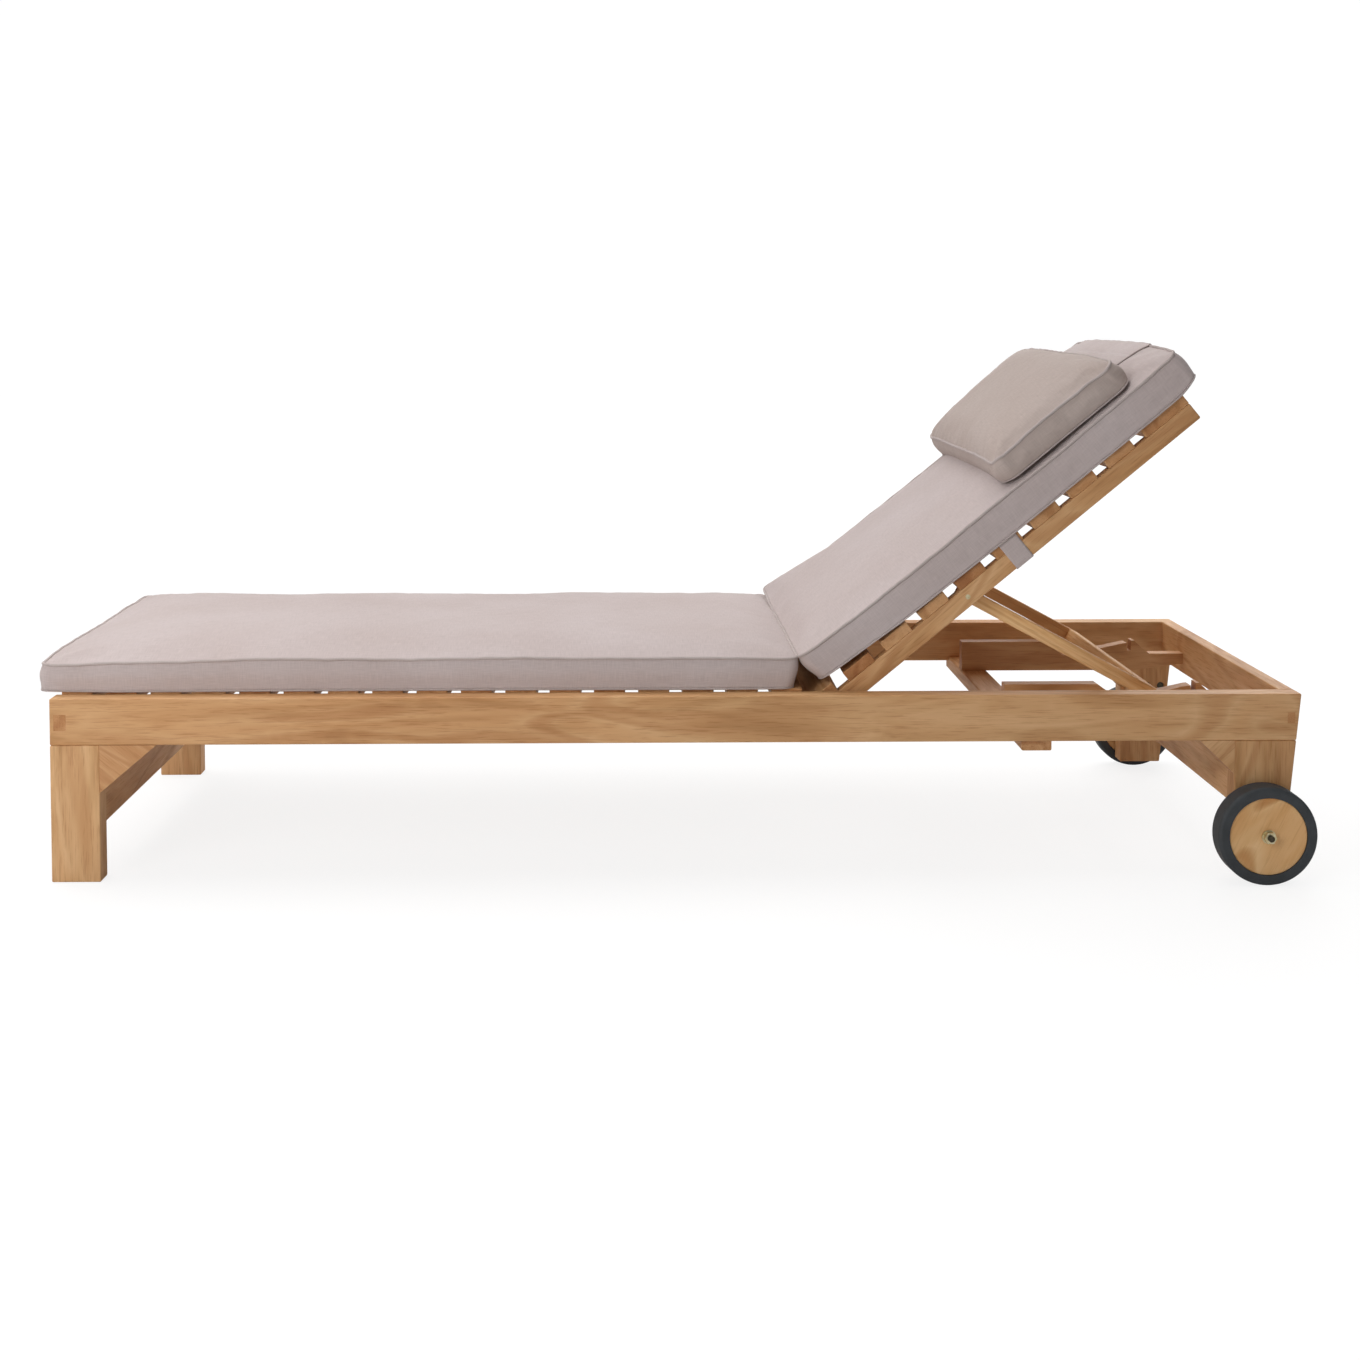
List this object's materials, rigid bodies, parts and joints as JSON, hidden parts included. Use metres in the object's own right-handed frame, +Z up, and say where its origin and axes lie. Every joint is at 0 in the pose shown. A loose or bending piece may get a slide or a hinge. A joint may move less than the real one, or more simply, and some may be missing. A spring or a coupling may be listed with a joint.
{
  "type": "sun lounger",
  "caption": "Teak sun lounger with a slatted bed, a reclining backrest on a folding prop, rear wheels, and boxed cushions with a head pillow.",
  "frame": {"origin": "middle of the bounding box on the floor, midway between the wheels in Y", "axes": "+X from the foot end to the head end, +Y to the left of someone lying on it, +Z up"},
  "size_m": [2.0308, 0.8144, 0.8513],
  "materials": {
    "teak": "oiled, satin",
    "cushion_cloth": "woven, matt",
    "strap_cloth": "woven, matt",
    "tyre_rubber": "matt",
    "zinc_steel": "zinc plated",
    "bush_nylon": "moulded"
  },
  "bodies": {
    "frame": {"stub_axles": "zinc_steel", "axle_fittings": "zinc_steel", "backrest_pivots": "zinc_steel", "foot_end_rail": "teak", "foot_knee_left": "teak", "foot_knee_right": "teak", "foot_leg_left": "teak", "foot_leg_right": "teak", "foot_stretcher": "teak", "head_end_rail": "teak", "leg_bolts": "zinc_steel", "rack_beam": "teak", "rack_left": "teak", "rack_right": "teak", "seat_cushion": "cushion_cloth", "seat_slats_foot": "teak", "seat_slats_head": "teak", "seat_slats_middle": "teak", "side_rail_left": "teak", "side_rail_right": "teak", "slat_cleat_left": "teak", "slat_cleat_right": "teak", "wheel_knee_left": "teak", "wheel_knee_right": "teak", "wheel_leg_left": "teak", "wheel_leg_right": "teak", "wheel_stretcher": "teak"},
    "backrest": {"back_rail_right": "teak", "back_rail_left": "teak", "back_slat_1": "teak", "back_slat_2": "teak", "back_slat_3": "teak", "back_slat_4": "teak", "back_slat_5": "teak", "back_slat_6": "teak", "back_slat_7": "teak", "back_slat_8": "teak", "back_slat_9": "teak", "head_slat": "teak", "prop_bolts": "zinc_steel", "cushion_straps": "strap_cloth", "back_cushion": "cushion_cloth", "head_pillow": "cushion_cloth", "pillow_flap": "cushion_cloth"},
    "prop": {"prop_arm_right": "teak", "prop_arm_left": "teak", "prop_bar": "teak"},
    "wheel_right": {"wheel_disc_right": "teak", "tyre_right": "tyre_rubber", "wheel_bush_right": "bush_nylon"},
    "wheel_left": {"wheel_disc_left": "teak", "tyre_left": "tyre_rubber", "wheel_bush_left": "bush_nylon"}
  },
  "joints": [
    {"name": "backrest_recline", "type": "hinge", "parent": "frame", "child": "backrest", "pos_m": [0.2583, 0, 0.267], "axis": [0, 1, 0], "range_deg": [0, 35.85]},
    {"name": "prop_swing", "type": "hinge", "parent": "backrest", "child": "prop", "pos_m": [0.47776, 0, 0.44726], "axis": [0, -1, 0], "range_deg": [0, 67.95]},
    {"name": "wheel_spin_right", "type": "hinge", "parent": "frame", "child": "wheel_right", "pos_m": [0.937, -0.3747, 0.0784], "axis": [0, 1, 0], "continuous": true},
    {"name": "wheel_spin_left", "type": "hinge", "parent": "frame", "child": "wheel_left", "pos_m": [0.937, 0.3747, 0.0784], "axis": [0, 1, 0], "continuous": true}
  ],
  "couplings": [
    {"joint": "prop_swing", "follows": "backrest_recline", "ratio": 1.894}
  ]
}
